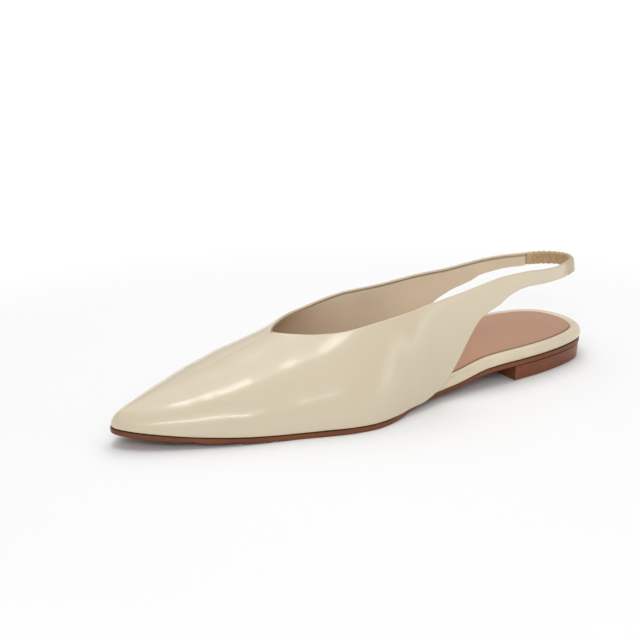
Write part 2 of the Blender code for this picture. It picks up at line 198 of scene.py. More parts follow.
# Toplines: share of LENGTH, distance out as a share of the width there, and rise from THROAT_HEIGHT (0) to
# SIDE_HEIGHT (1).
LATERAL_TOP = [
    (0.0725, 0.288, 0.788),
    (0.1008, 0.343, 0.821),
    (0.1481, 0.409, 0.910),
    (0.1885, 0.437, 0.981),
    (0.2282, 0.453, 1.000),
    (0.2603, 0.456, 0.981),
    (0.3115, 0.441, 0.891),
    (0.3435, 0.432, 0.821),
    (0.3794, 0.421, 0.750),
    (0.4260, 0.404, 0.654),
    (0.4702, 0.381, 0.532),
    (0.5107, 0.362, 0.423),
    (0.5489, 0.336, 0.321),
    (0.5672, 0.318, 0.256),
    (0.6000, 0.269, 0.147),
    (0.6252, 0.211, 0.092),
    (0.6427, 0.159, 0.064),
    (0.6588, 0.103, 0.050),
    (0.6740, 0.040, 0.036),
    (0.6824, -0.013, 0.024),
    (0.6858, -0.040, 0.010),
    (0.6870, -0.053, 0.000),
]
MEDIAL_TOP = [
    (0.0725, 0.251, 0.756),
    (0.1244, 0.329, 0.724),
    (0.1626, 0.368, 0.679),
    (0.2076, 0.386, 0.615),
    (0.2672, 0.390, 0.545),
    (0.3137, 0.372, 0.519),
    (0.3580, 0.357, 0.500),
    (0.4038, 0.342, 0.468),
    (0.4489, 0.331, 0.423),
    (0.4939, 0.321, 0.372),
    (0.5183, 0.318, 0.333),
    (0.5473, 0.313, 0.263),
    (0.5779, 0.298, 0.192),
    (0.6191, 0.257, 0.135),
    (0.6496, 0.195, 0.096),
    (0.6700, 0.137, 0.060),
    (0.6790, 0.105, 0.040),
    (0.6840, 0.080, 0.020),
    (0.6862, 0.066, 0.008),
    (0.6870, 0.053, 0.000),
]

# Rear edges of the quarters and the straps' lower edges: share of LENGTH, share of the way up from the
# feather edge to one STRAP_WIDTH below the topline, and how much of the last's swell a section keeps there.
LATERAL_LOW = [
    (0.000, 1.035, 0.30),
    (0.098, 1.035, 0.30),
    (0.146, 1.022, 0.30),
    (0.205, 1.000, 0.37),
    (0.226, 0.970, 0.46),
    (0.246, 0.926, 0.54),
    (0.265, 0.865, 0.63),
    (0.295, 0.826, 0.76),
    (0.316, 0.775, 0.85),
    (0.341, 0.628, 0.96),
    (0.366, 0.416, 1.00),
    (0.381, 0.294, 1.00),
    (0.395, 0.188, 1.00),
    (0.416, 0.090, 1.00),
    (0.437, 0.030, 1.00),
    (0.456, 0.000, 1.00),
]
MEDIAL_LOW = [
    (0.000, 1.025, 0.30),
    (0.107, 1.020, 0.30),
    (0.137, 1.000, 0.30),
    (0.169, 0.974, 0.30),
    (0.187, 0.920, 0.30),
    (0.208, 0.878, 0.38),
    (0.230, 0.846, 0.47),
    (0.258, 0.770, 0.60),
    (0.284, 0.660, 0.71),
    (0.307, 0.480, 0.81),
    (0.330, 0.300, 0.91),
    (0.353, 0.160, 1.00),
    (0.378, 0.060, 1.00),
    (0.403, 0.015, 1.00),
    (0.424, 0.000, 1.00),
]

# Heel loop in plan, from the lateral strap's end to the medial one's: share of the way round, share of LENGTH
# from the heel, place across as a share of HEEL_WIDTH.
LOOP = [
    (0.00, 0.0725, 0.288),
    (0.18, 0.0430, 0.223),
    (0.34, 0.0214, 0.142),
    (0.50, 0.0111, 0.016),
    (0.66, 0.0206, -0.106),
    (0.82, 0.0420, -0.193),
    (1.00, 0.0725, -0.251),
]


def follow(rows, column, place):
    """Value of a column at a place along a table, smooth and with no overshoot between its rows."""
    last = len(rows) - 1
    if place <= rows[0][0]:
        return rows[0][column]
    if place >= rows[last][0]:
        return rows[last][column]
    here = 0
    while rows[here + 1][0] < place:
        here += 1

    def slope(k):
        return (rows[k + 1][column] - rows[k][column]) / (rows[k + 1][0] - rows[k][0])

    def lean(k):
        if k == 0:
            return slope(0)
        if k == last:
            return slope(last - 1)
        before = slope(k - 1)
        after = slope(k)
        if before * after <= 0:
            return 0.0
        return 2 * before * after / (before + after)

    span = rows[here + 1][0] - rows[here][0]
    t = (place - rows[here][0]) / span
    value = rows[here][column] * (1 + 2 * t) * (1 - t) ** 2
    value += rows[here + 1][column] * t * t * (3 - 2 * t)
    value += lean(here) * span * t * (1 - t) ** 2
    value -= lean(here + 1) * span * t * t * (1 - t)
    return value


def turn_of(share):
    """Even steps of turn crowd the stations at the heel and the toe, where the outline is round."""
    return math.acos(1 - 2 * min(max(share, 0.0), 1.0)) / math.pi


def share_of(turn):
    return (1 - math.cos(math.pi * turn)) / 2


TURNED = [(turn_of(row[0]), row[1], row[2], row[3]) for row in OUTLINE]


def width_at(turn):
    seat = follow(TURNED, 3, turn)
    return seat * HEEL_WIDTH + (1 - seat) * LAST_WIDTH


def outline_point(turn, side):
    """Point on the last's bottom outline; side is 1 for lateral and -1 for medial."""
    column = 1 if side > 0 else 2
    across = side * follow(TURNED, column, turn) * width_at(turn)
    return Vector((share_of(turn) * BOARD_LENGTH, across))


def outward(turn, side):
    """Direction in plan that points away from the last."""
    if turn < 0.0001:
        return Vector((-1.0, 0.0))
    if turn > 0.9999:
        return Vector((1.0, 0.0))
    before = outline_point(max(turn - 0.004, 0.0), side)
    after = outline_point(min(turn + 0.004, 1.0), side)
    along = (after - before).normalized()
    return Vector((-along.y * side, along.x * side))


def ground_line(station):
    """Height of the outsole's underside, at a distance from the heel."""
    share = min(max(station / LENGTH, 0.0), 1.0)
    return follow(SOLE_LINE, 1, share) * HEEL_HEIGHT + follow(SOLE_LINE, 2, share) * TOE_SPRING


def seat_line(station):
    return ground_line(station) + SOLE_THICKNESS + GAP


def ring(turns, out, height):
    """Closed loop of points: up the lateral side to the toe and back down the medial side."""
    path = [(turn, 1) for turn in turns]
    path += [(turn, -1) for turn in reversed(turns[1:-1])]
    points = []
    for turn, side in path:
        flat = outline_point(turn, side) + outward(turn, side) * out(turn)
        points.append(Vector((flat.x, flat.y, height(flat.x))))
    return points


def board_height(station):
    return RIM_HEIGHT * follow(BOARD_LINE, 1, min(max(station / BOARD_LENGTH, 0.0), 1.0))


def top_point(share, side):
    rows = LATERAL_TOP if side > 0 else MEDIAL_TOP
    turn = turn_of(share * LENGTH / BOARD_LENGTH)
    across = side * follow(rows, 1, share) * width_at(turn)
    up = THROAT_HEIGHT + follow(rows, 2, share) * (SIDE_HEIGHT - THROAT_HEIGHT)
    return Vector((share * LENGTH, across, up))


def crest_point(share):
    across = follow(CREST, 1, share) * BALL_WIDTH
    return Vector((share * LENGTH, across, follow(CREST, 2, share) * THROAT_HEIGHT))


def feather_point(turn, side):
    """Where the outside of the upper meets the outsole."""
    flat = outline_point(turn, side) + outward(turn, side) * STAND_OFF
    return Vector((flat.x, flat.y, seat_line(flat.x)))


def section(foot, top, hub, nose, full=0.0):
    """Arch of the last above one feather point: centre, reach and rise, and how far along the top lies."""
    reach = Vector((foot.x - hub.x, foot.y - hub.y))
    inward = Vector((top.x - hub.x, top.y - hub.y))
    share = min(max(inward.dot(reach) / reach.length_squared, 0.0), 0.98)
    end = math.acos(share)
    rise = (top.z - foot.z) / math.sin(end)
    return hub, reach, foot.z, rise, end, nose, full


def on_section(arch, angle):
    hub, reach, ground, rise, end, nose, full = arch
    out = max(math.cos(angle), 0.0) ** (1 - full)
    up = max(math.sin(angle), 0.0) ** (1 - full)
    height = ground + rise * up - nose * reach.length * out * up
    return Vector((hub.x + reach.x * out, hub.y + reach.y * out, height))


# Soft creases of the lining: both ends as distances from the heel, the centre and the floor, width, height.
LINING_FOLDS = (
    ((0.146, -0.024, 0.034), (0.130, -0.0224, 0.0425), 0.0009, 0.0009),
    ((0.142, -0.024, 0.033), (0.129, -0.0224, 0.0395), 0.0013, -0.0005),
    ((0.151, -0.0244, 0.030), (0.141, -0.0235, 0.0375), 0.0011, 0.0005),
)

# Distances from the free edges at which every line of the upper's net has a point.
EVEN_EDGE = (0.0, 0.00006, 0.00014, 0.00024, 0.00036, 0.0005, 0.0008, 0.0013, 0.002)
ARCH_STEPS = 90

# Easing of the net past the throat: sampling step, samples each way, width, and how far along it reaches.
EASE_STEP = 0.0005
EASE_SAMPLES = 24
EASE_WIDTH = 0.0040
EASE_REACH = 0.014

# Unevenness of pulled leather: height and frequency of a slow swell and of a finer one.
SWELL = (0.00016, 38)
RIPPLE = (0.00004, 90)

# Vamp seam, from the heel: where its groove has faded out at the toe and at the throat, and over what length.
SEAM_TOE = (0.236, 0.02)
SEAM_THROAT = (0.1808, 0.003)
GROOVE_WIDTH = 0.0005
STITCH_END = 0.238
STITCH_GAP = 0.0007
STITCH_SINK = 0.00003

# Folded topline: width of the fold, how softly it ends, and how far the lining is set back from it.
FOLD_WIDTH = 0.0013
FOLD_FADE = 0.0005
LINING_BACK = 0.0014
LAYER_GAP = 0.00006

# Heel loop: rows round it, steps up it, distance between pleats, and height of its wavy edges.
BAND_ROWS = 260
BAND_STEPS = 18
BAND_PATH = 800
PLEAT_PITCH = 0.00135
BAND_WAVE = 0.00022

# Sock's edge: distance in, share of SOCK_THICKNESS, share of painted shade where the sock meets the binding's
# inner wall.
SOCK_EDGE = (
    (0.0, 0.0, 1.0),
    (0.0, 0.5, 1.0),
    (0.00008, 0.75, 0.9),
    (0.0003, 0.93, 0.6),
    (0.0007, 1.0, 0.25),
    (0.0014, 1.02, 0.0),
)

# Soft creases of the sock: both ends as distances from the heel and the centre, width, depth.
SOCK_CREASES = (
    ((0.100, 0.016), (0.088, -0.002), 0.0020, 0.00028),
    ((0.108, 0.020), (0.098, 0.004), 0.0016, 0.00022),
    ((0.072, 0.012), (0.066, -0.010), 0.0030, 0.00018),
    ((0.038, 0.010), (0.040, -0.012), 0.0040, 0.00014),
    ((0.142, 0.020), (0.138, -0.016), 0.0026, 0.00025),
    ((0.156, 0.024), (0.150, -0.014), 0.0026, 0.00022),
)

# Outsole's edge: distance in, share of SOLE_THICKNESS, share of painted shade, darker towards the floor and
# along the top under the upper.
SOLE_LAYERS = (
    (0.0022, 0.0, 0.25),
    (0.0007, 0.0, 0.3),
    (0.00025, 0.02, 0.55),
    (0.00006, 0.08, 0.35),
    (0.0, 0.2, 0.08),
    (0.0, 0.5, 0.0),
    (0.0, 0.74, 0.0),
    (0.00003, 0.86, 0.1),
    (0.00012, 0.94, 0.25),
    (0.0004, 0.98, 0.5),
    (0.0014, 1.0, 1.0),
)

# Heel block's side: distance in, share of its height, share of painted shade, darker at the floor and under
# the outsole.
HEEL_LAYERS = (
    (0.0012, 0.0, 0.4),
    (0.0005, 0.0, 0.6),
    (0.0002, 0.02, 0.7),
    (0.00005, 0.05, 0.3),
    *((0.0, 0.08 + 0.84 * k / 14, 0.0) for k in range(15)),
    (0.00005, 0.95, 0.15),
    (0.0002, 0.985, 0.4),
    (0.0006, 1.0, 0.8),
)
LIFT_RELIEF = 0.00004
LIFT_WAVES = 7.5 * math.pi

# Soft boxes: name, direction from the shoe, distance, width, length, direction of the length, radiance.
LIGHTS = (
    ("top_soft", (-0.25, 0.15, 0.95), 1.3, 1.3, 1.3, (1, 0, 0), 0.95),
    ("top_glint", (0.06, -0.19, 1.0), 1.0, 0.13, 0.20, (1.0, 0.15, 0), 12.0),
    ("front_strip", (0.74, -0.37, 0.53), 1.0, 0.08, 0.50, (0.44, 0.47, -0.29), 12.0),
    ("side_strip", (0.72, 0.60, 0.33), 1.0, 0.16, 0.50, (0, 0, 1), 2.4),
    ("front_fill", (0.55, -0.62, 0.50), 1.4, 1.0, 1.0, (0, 0, 1), 0.5),
    ("back_fill", (-0.55, 0.50, 0.80), 1.4, 1.0, 1.0, (0, 0, 1), 0.95),
    ("back_box", (-0.80, 0.12, 0.55), 1.0, 0.5, 0.5, (0, 0, 1), 0.4),
)

# Camera: turn and lift in degrees, distance from its target, lens and shift in the picture's own pixels.
PICTURE = 640
SENSOR = 36.0
CAMERA_TURN = 33.19
CAMERA_LIFT = 19.66
CAMERA_DISTANCE = 0.668
CAMERA_TARGET = (0.131, 0.0, 0.020)
CAMERA_LENS = 1370.75
CAMERA_SHIFT = (-43.78, 33.47)
FLOOR_HALF = 8


def place_on_frame():
    """Shift from the last's own axes to the frame, read from the solid outsole."""
    edge = ring(
        [k / 400 for k in range(401)],
        lambda turn: follow(SOLE_EDGE, 1, share_of(turn)) * STAND_OFF,
        lambda station: 0.0,
    )
    low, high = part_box("outsole")
    across = (low.x + high.x) / 2 - (max(p.y for p in edge) + min(p.y for p in edge)) / 2
    along = (low.y + high.y) / 2 + (max(p.x for p in edge) + min(p.x for p in edge)) / 2
    return across, along


ACROSS, ALONG = place_on_frame()


def in_frame(point):
    return Vector((point[1] + ACROSS, ALONG - point[0], point[2]))


# Finishes.
def node(tree, kind, sockets=None, **settings):
    """New node with its settings, and values for its sockets by name."""
    made = tree.nodes.new(kind)
    for name, value in settings.items():
        setattr(made, name, value)
    for name, value in (sockets or {}).items():
        made.inputs[name].default_value = value
    return made


def join(tree, *links):
    """Links sockets by name: each link is a node, its output, the next node and its input."""
    for source, out, target, into in links:
        tree.links.new(source.outputs[out], target.inputs[into])


def leather(name, tone, second, roughness, coat=0.0, shine=0.5, grain=900.0, relief=0.12, folds=0.0,
            fold_size=260.0, stretch=(1.0, 1.0, 1.0), patches=22.0, shade_and_joint_tone=None, sheen=0.0):
    """Leather: two close tones in soft patches, a fine grain, and creases where folds is above nothing.
    The piece's "shade" attribute blends in a darker tone: painted shade in crevices, grooves and gathers, and
    on the heel also the dark joints between its lifts."""
    material = bpy.data.materials.new(name)
    material.use_nodes = True
    tree = material.node_tree
    shader = tree.nodes["Principled BSDF"]
    shader.inputs["Specular IOR Level"].default_value = shine
    shader.inputs["Coat Weight"].default_value = coat
    shader.inputs["Coat Roughness"].default_value = 0.14
    shader.inputs["Sheen Weight"].default_value = sheen
    spot = node(tree, "ShaderNodeTexCoord")
    cloud = node(tree, "ShaderNodeTexNoise", {"Scale": patches, "Detail": 3.0})
    ramp = node(tree, "ShaderNodeValToRGB")
    for stop, place, colour in zip(ramp.color_ramp.elements, (0.32, 0.68), (second, tone)):
        stop.position = place
        stop.color = (*colour, 1)
    gloss = node(tree, "ShaderNodeMapRange", {"To Min": roughness * 0.85, "To Max": roughness * 1.2})
    pores = node(tree, "ShaderNodeTexVoronoi", {"Scale": grain})
    last = node(tree, "ShaderNodeBump", {"Strength": relief, "Distance": 0.0002})
    join(tree, (spot, "Object", cloud, "Vector"), (cloud, "Fac", ramp, "Fac"), (cloud, "Fac", gloss, "Value"),
         (gloss, "Result", shader, "Roughness"), (spot, "Object", pores, "Vector"),
         (pores, "Distance", last, "Height"))
    colour = ramp.outputs["Color"]
    # Painted shade: the "shade" attribute blends the darker tone into the colour; on the heel it also draws
    # the dark lift joints.
    if shade_and_joint_tone is not None:
        shade = node(tree, "ShaderNodeAttribute", attribute_name="shade")
        blend = node(tree, "ShaderNodeMix", data_type="RGBA")
        under, over = [socket for socket in blend.inputs if socket.type == "RGBA"]
        over.default_value = (*shade_and_joint_tone, 1)
        tree.links.new(colour, under)
        tree.links.new(shade.outputs["Fac"], blend.inputs[0])
        colour = [out for out in blend.outputs if out.type == "RGBA"][0]
    tree.links.new(colour, shader.inputs["Base Color"])
    if folds > 0:
        stretcher = node(tree, "ShaderNodeMapping", {"Scale": stretch})
        crease = node(tree, "ShaderNodeTexNoise", {"Scale": fold_size, "Detail": 4.0, "Roughness": 0.6})
        coarse = node(tree, "ShaderNodeBump", {"Strength": folds, "Distance": 0.0008})
        join(tree, (spot, "Object", stretcher, "Vector"), (stretcher, "Vector", crease, "Vector"),
             (crease, "Fac", coarse, "Height"), (last, "Normal", coarse, "Normal"))
        last = coarse
    tree.links.new(last.outputs["Normal"], shader.inputs["Normal"])
    return material


def stacked(name, tone, dark, roughness):
    """Cut leather edge: burnished, with thin lifts showing as level lines."""
    # Its darker tone is painted shade at the heel's top and bottom, and the dark joints between its lifts.
    return leather(name, tone, dark, roughness, coat=0.08, shine=0.22, grain=700.0, relief=0.25, patches=60.0,
                   stretch=(1.0, 1.0, 8.0), folds=0.25, fold_size=180.0, shade_and_joint_tone=(0.09, 0.034, 0.016))


# Building pieces.
def in_scene(name, data):
    made = bpy.data.objects.new(name, data)
    bpy.context.scene.collection.objects.link(made)
    return made


def mesh_piece(name, points, faces, material, shade=None):
    mesh = bpy.data.meshes.new(name)
    mesh.from_pydata([tuple(point) for point in points], [], faces)
    mesh.materials.append(material)
    if shade is not None:
        values = mesh.attributes.new("shade", "FLOAT", "POINT")
        values.data.foreach_set("value", [float(value) for value in shade])
    mesh.polygons.foreach_set("use_smooth", [True] * len(mesh.polygons))
    return in_scene(name, mesh)


def tidy(piece, turn=True, smooth_angle=None):
    """Loose points dropped, doubles merged, faces turned outward, and edges past smooth_angle kept sharp."""
    shape = bmesh.new()
    shape.from_mesh(piece.data)
    loose = [vertex for vertex in shape.verts if not vertex.link_faces]
    bmesh.ops.delete(shape, geom=loose, context="VERTS")
    bmesh.ops.remove_doubles(shape, verts=shape.verts, dist=0.0000004)
    if turn:
        bmesh.ops.recalc_face_normals(shape, faces=shape.faces)
    if smooth_angle is not None:
        for edge in shape.edges:
            if len(edge.link_faces) == 2 and edge.calc_face_angle(0.0) > smooth_angle:
                edge.smooth = False
    shape.to_mesh(piece.data)
    shape.free()
    piece.data.update()
    return piece


def on_root(piece, slot_name, *nodes):
    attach(piece, "root")
    if nodes:
        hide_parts(*nodes)
    return piece


def walk(spots):
    """Distance walked along a line of points, at each of them."""
    walked = [0.0]
    for before, after in zip(spots, spots[1:]):
        walked.append(walked[-1] + (after - before).length)
    return walked


def bell(gap, width):
    return np.exp(-(gap / width) ** 2)


def round_off(share):
    """Quarter circle that a rounded edge follows, from 0 at the edge to 1."""
    return np.sqrt(np.clip(1 - (1 - np.clip(share, 0, 1)) ** 2, 0, 1))


def nearest(spots, starts, along):
    """How far each spot is from the nearest of some straight steps."""
    size = np.maximum((along ** 2).sum(1), 1e-16)
    far = np.full(len(spots), 1.0)
    at_once = 2000
    for first in range(0, len(spots), at_once):
        chunk = spots[first:first + at_once]
        share = ((chunk[:, None] - starts[None]) * along[None]).sum(2) / size[None]
        near = starts[None] + along[None] * np.clip(share, 0, 1)[..., None]
        far[first:first + at_once] = np.sqrt(((chunk[:, None] - near) ** 2).sum(2)).min(1)
    return far


def spaced(arch, start, end, middle):
    """Angles along a section: crowded by fixed distances at both ends, even between them."""
    angles = [start + (end - start) * k / ARCH_STEPS for k in range(ARCH_STEPS + 1)]
    walked = walk([on_section(arch, angle) for angle in angles])
    total = walked[-1]
    ends = [min(step, total * 0.2 * step / EVEN_EDGE[-1]) for step in EVEN_EDGE]
    inner = [ends[-1] + (total - 2 * ends[-1]) * k / middle for k in range(1, middle)]
    goals = ends + inner + [total - step for step in reversed(ends)]
    return list(np.interp(goals, walked, angles))


def side_arch(share, side):
    """Section of a quarter or strap, and the angles of its lower edge and its topline."""
    rows = LATERAL_LOW if side > 0 else MEDIAL_LOW
    top = top_point(share, side)
    foot = feather_point(turn_of(share * LENGTH / BOARD_LENGTH), side)
    foot.x = share * LENGTH
    foot.y = top.y + (foot.y - top.y) * follow(rows, 2, share)
    arch = section(foot, top, Vector((foot.x, CREST[0][1] * BALL_WIDTH, 0.0)), 0.0)
    lift = follow(rows, 1, share) * (top.z - STRAP_WIDTH - foot.z) / arch[3]
    return arch, math.asin(min(max(lift, 0.0), 0.999)), arch[4]


def vamp_arch(turn, side):
    """Section of the vamp, and the angles of the feather edge and the crest."""
    foot = feather_point(turn, side)
    start = THROAT * LENGTH
    reach = (foot.x - start) / (LENGTH - EDGE_LIP - start)
    share = THROAT + (CREST[-1][0] - THROAT) * (reach + 0.35 * reach * (1 - reach) * reach)
    top = crest_point(share)
    full = follow(FULLNESS, 1 if side > 0 else 2, reach)
    return section(foot, top, top, 0.30 * max(reach, 0.0) ** 4, full), 0.0, math.pi / 2


class Skin:
    """Outside face of the upper as a net of points, with the way out at each, and how far its free edge is."""

    def __init__(self, vamp_rows, throat_rows, flank_rows, middle):
        throat_turn = turn_of(THROAT * LENGTH / BOARD_LENGTH)
        turns = [1 - (1 - throat_turn) * (1 - (1 - k / vamp_rows) ** 1.25) for k in range(vamp_rows + 1)]
        shares = [THROAT + (FLANK - THROAT) * (k / throat_rows) ** 1.7 for k in range(1, throat_rows + 1)]
        shares += [FLANK + (STRAP_END - FLANK) * k / flank_rows for k in range(1, flank_rows)]
        shares = [share for share in shares if share > STRAP_END + 1.3 * EVEN_EDGE[-1] / LENGTH]
        shares += [STRAP_END + step / LENGTH for step in reversed(EVEN_EDGE)]
        self.points = []
        self.lines = {1: [], -1: []}
        self.seam = []
        for number, turn in enumerate(turns):
            crest = None
            for side in (1, -1):
                if number == 0 and side < 0:
                    self.lines[-1].append(self.lines[1][0])
                    continue
                line = self.add_line(*vamp_arch(turn, side), middle)
                if crest is not None:
                    self.points.pop()
                    line[-1] = crest
                crest = line[-1]
                self.lines[side].append(line)
            self.seam.append(crest)
        self.free = len(turns) - 1
        for share in shares:
            for side in (1, -1):
                self.lines[side].append(self.add_line(*side_arch(share, side), middle))
        self.faces = []
        for side in (1, -1):
            for front, back in zip(self.lines[side], self.lines[side][1:]):
                for k in range(len(front) - 1):
                    face = (front[k], front[k + 1], back[k + 1], back[k])
                    self.faces.append(face[::-1] if side > 0 else face)
        self.spots = np.array([tuple(in_frame(point)) for point in self.points])
        self.ease_throat()
        self.soften()
        self.find_normals()
        self.find_edges()

    def add_line(self, arch, start, end, middle):
        """Adds the points of one section, and gives their numbers."""
        first = len(self.points)
        self.points += [on_section(arch, angle) for angle in spaced(arch, start, end, middle)]
        return list(range(first, len(self.points)))

    def ease_throat(self):
        """Runs the surface smoothly past the end of the throat, except near the throat itself."""
        kernel = bell(np.arange(-EASE_SAMPLES, EASE_SAMPLES + 1) * EASE_STEP, EASE_WIDTH)
        kernel /= kernel.sum()
        for lines in (self.lines[1], self.lines[-1]):
            middle = self.spots[lines[self.free][0], 1]
            last = len(lines[0]) - 1
            for k in range(last):
                weight = min(max((0.93 - k / last) / 0.2, 0.0), 1.0)
                if weight == 0.0:
                    continue
                path = [line[k] for line in lines]
                spots = self.spots[path]
                steps = np.linalg.norm(np.diff(spots, axis=0), axis=1)
                walked = np.concatenate([[0.0], np.cumsum(steps)])
                even = np.arange(0.0, walked[-1], EASE_STEP)
                eased = []
                for column in spots.T:
                    curve = np.pad(np.interp(even, walked, column), EASE_SAMPLES, mode="edge")
                    eased.append(np.interp(walked, even, np.convolve(curve, kernel, mode="valid")))
                near = bell(spots[:, 1] - middle, EASE_REACH)[:, None] * weight
                self.spots[path] = spots + (np.stack(eased, axis=1) - spots) * near

    def soften(self):
        """Slight unevenness of pulled leather."""
        for k, spot in enumerate(self.spots):
            where = Vector(spot)
            drift = noise.noise(where * SWELL[1]) * SWELL[0]
            drift += noise.noise(where * RIPPLE[1] + Vector((3, 1, 7))) * RIPPLE[0]
            self.spots[k, 2] += drift * 0.6
            self.spots[k, 0] += drift * 0.5

    def find_normals(self):
        mesh = bpy.data.meshes.new("net")
        mesh.from_pydata([tuple(spot) for spot in self.spots], [], self.faces)
        normals = np.zeros(len(self.spots) * 3)
        mesh.vertices.foreach_get("normal", normals)
        self.normals = normals.reshape(-1, 3)
        bpy.data.meshes.remove(mesh)

    def distance(self, paths):
        """How far each point is from some paths along the net."""
        starts = np.concatenate([self.spots[path[:-1]] for path in paths])
        along = np.concatenate([self.spots[path[1:]] for path in paths]) - starts
        far = nearest(self.spots, starts, along)
        for path in paths:
            far[path] = 0.0
        return far

    def find_edges(self):
        """Distances from the free edges, the toplines and the seam, and where the seam's groove fades."""
        rim = []
        for lines in (self.lines[1], self.lines[-1]):
            rim += [[line[0] for line in lines], [line[-1] for line in lines[self.free:]], list(lines[-1])]
        self.far = self.distance(rim)
        self.far_top = self.distance([path for path in rim if path[0] == self.seam[-1]])
        crest = self.spots[self.seam[:-1]]
        self.from_seam = nearest(self.spots, crest, np.zeros_like(crest))
        self.station = ALONG - self.spots[:, 1]
        at_toe = np.clip((SEAM_TOE[0] - self.station) / SEAM_TOE[1], 0, 1)
        self.seam_fade = at_toe * np.clip((self.station - SEAM_THROAT[0]) / SEAM_THROAT[1], 0, 1)


def layer(net, name, depth, thickness, material, groove=0.0, lift=0.0, shade=None, back=0.0, turned=0.0):
    """One leather layer of the upper as a closed shell with round edges, a given depth inside the net.
    back sets its edge in from the topline, and turned is what the folded edge adds inside."""
    half = thickness / 2
    inset = np.clip(np.minimum(net.far, net.far_top - back), 0, None)
    rise = np.clip((FOLD_WIDTH - net.far_top) / FOLD_FADE, 0, 1)
    extra = turned * rise * rise * (3 - 2 * rise)
    bend = np.where(extra > 0, round_off(net.far / (half + turned / 2)), round_off(inset / half))
    middle = net.spots - net.normals * (depth + half + extra / 2)[:, None]
    dip = groove * bell(net.from_seam, GROOVE_WIDTH) * net.seam_fade
    outer = middle + net.normals * ((half + extra / 2) * bend - dip)[:, None]
    inner = middle - net.normals * ((half + extra / 2 + lift) * bend)[:, None]
    count = len(net.spots)
    kept = [face for face in net.faces if max(inset[corner] for corner in face) > 0]
    faces = kept + [tuple(corner + count for corner in reversed(face)) for face in kept]
    tints = None if shade is None else np.concatenate([shade, shade])
    return tidy(mesh_piece(name, np.concatenate([outer, inner]), faces, material, tints), turn=False)


def bridged(levels, count):
    """Faces that join each closed loop of points to the next."""
    faces = []
    for low in range(0, (levels - 1) * count, count):
        for k in range(count):
            after = (k + 1) % count
            faces.append((low + k, low + after, low + count + after, low + count + k))
    return faces


def capped(levels, count):
    """The same, with one face over each end."""
    last = (levels - 1) * count
    return bridged(levels, count) + [tuple(range(count)), tuple(range(last, last + count))]


def rings_piece(name, rings, material, shades=None):
    """Closed solid from loops of equal length, bridged below the first and above the last."""
    count = len(rings[0])
    half = count // 2
    points = [in_frame(point) for one in rings for point in one]
    tints = None
    if shades is not None:
        tints = [shade for level, shade in enumerate(shades) for _ in range(count)]
    faces = bridged(len(rings), count)
    rungs = 12
    for start, closing in ((0, False), ((len(rings) - 1) * count, True)):
        rows = []
        for k in range(1, half):
            left = start + k
            right = start + count - k
            row = [left]
            for step in range(1, rungs):
                points.append(points[left].lerp(points[right], step / rungs))
                if tints is not None:
                    tints.append(shades[-1] if closing else shades[0])
                row.append(len(points) - 1)
            row.append(right)
            rows.append(row)
        for before, after in zip(rows, rows[1:]):
            for k in range(rungs):
                faces.append((before[k], before[k + 1], after[k + 1], after[k]))
        for k in range(rungs):
            faces.append((start, rows[0][k + 1], rows[0][k]))
            faces.append((start + half, rows[-1][k], rows[-1][k + 1]))
    return tidy(mesh_piece(name, points, faces, material, tints))


def crease(station, across, start, end, size, depth):
    """Depth of a soft trough between two points in plan, in metres from heel and centre."""
    along = Vector(end) - Vector(start)
    spot = Vector((station, across)) - Vector(start)
    part = min(max(spot.dot(along) / along.length_squared, 0.0), 1.0)
    gap = (spot - along * part).length
    return depth * math.exp(-(gap / size) ** 2) * math.sin(math.pi * min(max(part, 0.06), 0.94))


class ShoeSizes(bpy.types.PropertyGroup):
    leather_thickness: bpy.props.FloatProperty(
        name="Leather", description="Thickness of the outer leather", default=0.0009, unit="LENGTH")
    lining_thickness: bpy.props.FloatProperty(
        name="Lining", description="Thickness of the lining", default=0.0007, unit="LENGTH")
    stitch_length: bpy.props.FloatProperty(
        name="Stitch", description="Length of one stitch of the vamp seam", default=0.0012, unit="LENGTH")
    stitch_pitch: bpy.props.FloatProperty(
        name="Stitch pitch", description="Distance between stitches", default=0.0019, unit="LENGTH")
    thread: bpy.props.FloatProperty(
        name="Thread", description="Thickness of the thread", default=0.00022, unit="LENGTH")
    turned_edge: bpy.props.FloatProperty(
        name="Turned edge", description="What the folded edge adds inside", default=0.0007, unit="LENGTH")
    seam_groove: bpy.props.FloatProperty(
        name="Seam groove", description="Depth of the groove along the vamp seam", default=0.00014,
        unit="LENGTH")
    gather: bpy.props.FloatProperty(
        name="Gather", description="Height of the gathers in the heel loop", default=0.00032, unit="LENGTH")


class ShoeColours(bpy.types.PropertyGroup):
    cream: bpy.props.FloatVectorProperty(
        name="Cream leather", description="Upper and binding", subtype="COLOR", default=(0.66, 0.572, 0.418))
    cream_dark: bpy.props.FloatVectorProperty(
        name="Cream leather, deeper", description="Second tone of the upper", subtype="COLOR",
        default=(0.635, 0.545, 0.39))
    lining: bpy.props.FloatVectorProperty(
        name="Lining", description="Lining of the quarters", subtype="COLOR", default=(0.80, 0.685, 0.505))
    sock: bpy.props.FloatVectorProperty(
        name="Sock", description="Tan leather sock", subtype="COLOR", default=(0.475, 0.244, 0.142))
    sole: bpy.props.FloatVectorProperty(
        name="Sole", description="Brown sole leather", subtype="COLOR", default=(0.215, 0.068, 0.025))
    elastic: bpy.props.FloatVectorProperty(
        name="Elastic", description="Ruched elastic inside the loop", subtype="COLOR",
        default=(0.68, 0.50, 0.27))


def sizes():
    return bpy.context.scene.shoe_sizes


def colours():
    return bpy.context.scene.shoe_colours


SKINS = {}


def skin():
    """Net of the upper, made once and shared by the operators."""
    if not SKINS:
        SKINS["upper"] = Skin(vamp_rows=84, throat_rows=46, flank_rows=130, middle=22)
    return SKINS["upper"]


